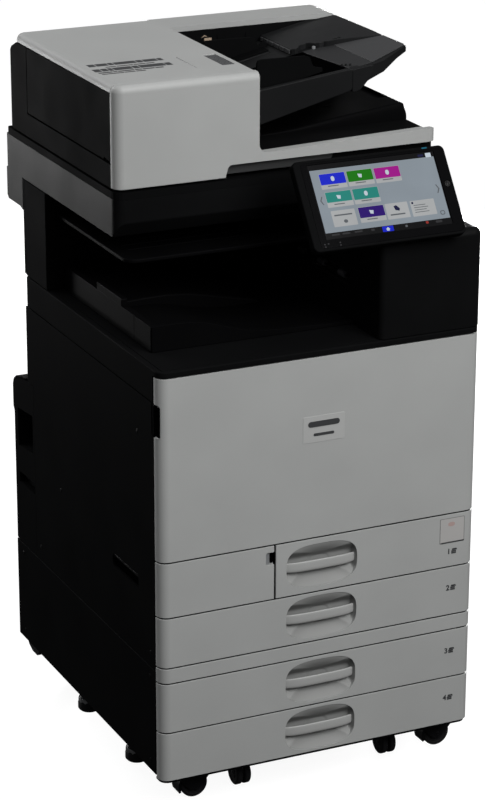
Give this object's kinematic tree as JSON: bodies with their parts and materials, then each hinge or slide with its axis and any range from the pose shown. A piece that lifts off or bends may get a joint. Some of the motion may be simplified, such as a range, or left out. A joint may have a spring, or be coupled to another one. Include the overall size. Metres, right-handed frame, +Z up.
{
  "type": "photocopier",
  "caption": "Floor-standing office photocopier with a document feeder, tilting touch panel, in-body delivery space, paper drawers and a caster base.",
  "frame": {"origin": "middle of the footprint, on the floor under the casters", "axes": "+X to the right seen from the front, +Y to the back, +Z up; the drawer fronts face -Y"},
  "size_m": [0.587, 0.6911, 1.228],
  "materials": {
    "light_plastic": "satin",
    "black_plastic": "fine matte grain",
    "dark_grey_plastic": "matte",
    "mid_grey_plastic": "matte",
    "zinc_steel": "zinc plated",
    "dark_glass": "polished",
    "screen_glass": "polished",
    "rubber": "matte",
    "toner_plastic": "satin"
  },
  "bodies": {
    "machine": {"bank_frame": "zinc_steel", "bank_left_cover": "black_plastic", "bank_right_cover": "black_plastic", "bank_front_strip": "light_plastic", "main_frame": "zinc_steel", "left_cover": "black_plastic", "right_cover": "black_plastic", "rear_cover": "black_plastic", "power_inlet": "black_plastic", "top_deck": "black_plastic", "upper_rear_housing": "black_plastic", "right_column": "black_plastic", "exit_tray": "dark_grey_plastic", "inner_shelf": "dark_grey_plastic", "scanner_housing": "black_plastic", "platen_frame": "black_plastic", "platen_glass": "dark_glass", "inner_front_cover": "mid_grey_plastic", "process_unit": "dark_grey_plastic", "fuser_unit": "mid_grey_plastic", "waste_toner_bottle": "mid_grey_plastic"},
    "front_door": {"front_door": "light_plastic"},
    "waste_toner_cover": {"waste_toner_cover": "light_plastic"},
    "tray_1": {"tray_1_front": "light_plastic", "tray_1_box": "dark_grey_plastic"},
    "tray_2": {"tray_2_front": "light_plastic", "tray_2_box": "dark_grey_plastic"},
    "tray_3": {"tray_3_front": "light_plastic", "tray_3_box": "dark_grey_plastic"},
    "tray_4": {"tray_4_front": "light_plastic", "tray_4_box": "dark_grey_plastic"},
    "scan_carriage": {"scan_carriage": "dark_grey_plastic"},
    "adf": {"adf_base": "black_plastic", "adf_front_cover": "light_plastic", "adf_rear_cover": "light_plastic"},
    "feeder_cover": {"feeder_cover": "light_plastic", "feeder_side_cover": "black_plastic"},
    "pickup_roller": {"pickup_roller": "rubber"},
    "document_tray": {"document_tray": "dark_grey_plastic"},
    "guide_front": {"document_guide_front": "dark_grey_plastic"},
    "guide_rear": {"document_guide_rear": "dark_grey_plastic"},
    "panel": {"operation_panel": "black_plastic", "touch_screen": "screen_glass"},
    "home_button": {"home_button": "mid_grey_plastic"},
    "right_door": {"right_door": "black_plastic"},
    "bypass_tray": {"bypass_tray": "black_plastic"},
    "toner_1": {"toner_bottle_1": "toner_plastic"},
    "toner_2": {"toner_bottle_2": "toner_plastic"},
    "toner_3": {"toner_bottle_3": "toner_plastic"},
    "toner_4": {"toner_bottle_4": "toner_plastic"},
    "fork_front_left": {"caster_front_left_fork": "black_plastic"},
    "wheel_front_left": {"caster_front_left_wheel": "rubber"},
    "fork_front_right": {"caster_front_right_fork": "black_plastic"},
    "wheel_front_right": {"caster_front_right_wheel": "rubber"},
    "fork_rear_left": {"caster_rear_left_fork": "black_plastic"},
    "wheel_rear_left": {"caster_rear_left_wheel": "rubber"},
    "fork_rear_right": {"caster_rear_right_fork": "black_plastic"},
    "wheel_rear_right": {"caster_rear_right_wheel": "rubber"},
    "twin_left": {"twin_caster_left_wheels": "rubber"},
    "twin_right": {"twin_caster_right_wheels": "rubber"}
  },
  "joints": [
    {"name": "front_door_hinge", "type": "hinge", "parent": "machine", "child": "front_door", "pos_m": [0.2865, -0.30435, 0.63], "axis": [0, 0, 1], "range_deg": [0, 110]},
    {"name": "waste_toner_cover_hinge", "type": "hinge", "parent": "machine", "child": "waste_toner_cover", "pos_m": [-0.2865, -0.30435, 0.422], "axis": [0, 0, -1], "range_deg": [0, 100]},
    {"name": "tray_1_slide", "type": "slide", "parent": "machine", "child": "tray_1", "axis": [0, -1, 0], "range_m": [0, 0.44]},
    {"name": "tray_2_slide", "type": "slide", "parent": "machine", "child": "tray_2", "axis": [0, -1, 0], "range_m": [0, 0.44]},
    {"name": "tray_3_slide", "type": "slide", "parent": "machine", "child": "tray_3", "axis": [0, -1, 0], "range_m": [0, 0.44]},
    {"name": "tray_4_slide", "type": "slide", "parent": "machine", "child": "tray_4", "axis": [0, -1, 0], "range_m": [0, 0.44]},
    {"name": "scan_carriage_slide", "type": "slide", "parent": "machine", "child": "scan_carriage", "axis": [1, 0, 0], "range_m": [0, 0.46]},
    {"name": "adf_hinge", "type": "hinge", "parent": "machine", "child": "adf", "pos_m": [0, 0.32965, 1.0585], "axis": [-1, 0, 0], "range_deg": [0, 65]},
    {"name": "feeder_cover_hinge", "type": "hinge", "parent": "adf", "child": "feeder_cover", "pos_m": [-0.2895, 0.06465, 1.1035], "axis": [0, -1, 0], "range_deg": [0, 75]},
    {"name": "pickup_roller_spin", "type": "hinge", "parent": "adf", "child": "pickup_roller", "pos_m": [-0.0675, 0.05465, 1.122], "axis": [0, 1, 0], "continuous": true},
    {"name": "document_tray_hinge", "type": "hinge", "parent": "adf", "child": "document_tray", "pos_m": [-0.0275, 0.08465, 1.146], "axis": [0, -1, 0], "range_deg": [0, 30]},
    {"name": "guide_front_slide", "type": "slide", "parent": "document_tray", "child": "guide_front", "axis": [0, 1, 0], "range_m": [-0.03, 0.05]},
    {"name": "guide_rear_slide", "type": "slide", "parent": "document_tray", "child": "guide_rear", "axis": [0, 1, 0], "range_m": [-0.05, 0.03]},
    {"name": "panel_tilt", "type": "hinge", "parent": "machine", "child": "panel", "pos_m": [0, -0.28735, 1.006], "axis": [-1, 0, 0], "range_deg": [-8, 40]},
    {"name": "home_button_press", "type": "slide", "parent": "panel", "child": "home_button", "axis": [0, 0.8161, -0.5779], "range_m": [0, 0.0012], "stiffness_N_per_m": 400, "springref_m": -0.001},
    {"name": "right_door_hinge", "type": "hinge", "parent": "machine", "child": "right_door", "pos_m": [0.2885, -0.01035, 0.335], "axis": [0, 1, 0], "range_deg": [0, 35]},
    {"name": "bypass_tray_hinge", "type": "hinge", "parent": "right_door", "child": "bypass_tray", "pos_m": [0.2915, -0.01035, 0.492], "axis": [0, 1, 0], "range_deg": [0, 75]},
    {"name": "toner_1_spin", "type": "hinge", "parent": "machine", "child": "toner_1", "pos_m": [-0.2095, -0.11535, 0.688], "axis": [0, 1, 0], "continuous": true},
    {"name": "toner_2_spin", "type": "hinge", "parent": "machine", "child": "toner_2", "pos_m": [-0.1035, -0.11535, 0.688], "axis": [0, 1, 0], "continuous": true},
    {"name": "toner_3_spin", "type": "hinge", "parent": "machine", "child": "toner_3", "pos_m": [0.0025, -0.11535, 0.688], "axis": [0, 1, 0], "continuous": true},
    {"name": "toner_4_spin", "type": "hinge", "parent": "machine", "child": "toner_4", "pos_m": [0.1085, -0.11535, 0.688], "axis": [0, 1, 0], "continuous": true},
    {"name": "caster_front_left_swivel", "type": "hinge", "parent": "machine", "child": "fork_front_left", "pos_m": [-0.2215, -0.23735, 0.06], "axis": [0, 0, 1], "continuous": true},
    {"name": "caster_front_left_roll", "type": "hinge", "parent": "fork_front_left", "child": "wheel_front_left", "pos_m": [-0.2035, -0.23735, 0.02479], "axis": [0, 1, 0], "continuous": true},
    {"name": "caster_front_right_swivel", "type": "hinge", "parent": "machine", "child": "fork_front_right", "pos_m": [0.2495, -0.23735, 0.06], "axis": [0, 0, 1], "continuous": true},
    {"name": "caster_front_right_roll", "type": "hinge", "parent": "fork_front_right", "child": "wheel_front_right", "pos_m": [0.2675, -0.23735, 0.02479], "axis": [0, 1, 0], "continuous": true},
    {"name": "caster_rear_left_swivel", "type": "hinge", "parent": "machine", "child": "fork_rear_left", "pos_m": [-0.2215, 0.27465, 0.06], "axis": [0, 0, 1], "continuous": true},
    {"name": "caster_rear_left_roll", "type": "hinge", "parent": "fork_rear_left", "child": "wheel_rear_left", "pos_m": [-0.2035, 0.27465, 0.02479], "axis": [0, 1, 0], "continuous": true},
    {"name": "caster_rear_right_swivel", "type": "hinge", "parent": "machine", "child": "fork_rear_right", "pos_m": [0.2495, 0.27465, 0.06], "axis": [0, 0, 1], "continuous": true},
    {"name": "caster_rear_right_roll", "type": "hinge", "parent": "fork_rear_right", "child": "wheel_rear_right", "pos_m": [0.2675, 0.27465, 0.02479], "axis": [0, 1, 0], "continuous": true},
    {"name": "twin_caster_left_roll", "type": "hinge", "parent": "machine", "child": "twin_left", "pos_m": [-0.1095, -0.23135, 0.02181], "axis": [1, 0, 0], "continuous": true},
    {"name": "twin_caster_right_roll", "type": "hinge", "parent": "machine", "child": "twin_right", "pos_m": [0.1765, -0.23135, 0.02181], "axis": [1, 0, 0], "continuous": true}
  ],
  "couplings": [
    {"joint": "guide_rear_slide", "follows": "guide_front_slide", "ratio": -1}
  ]
}
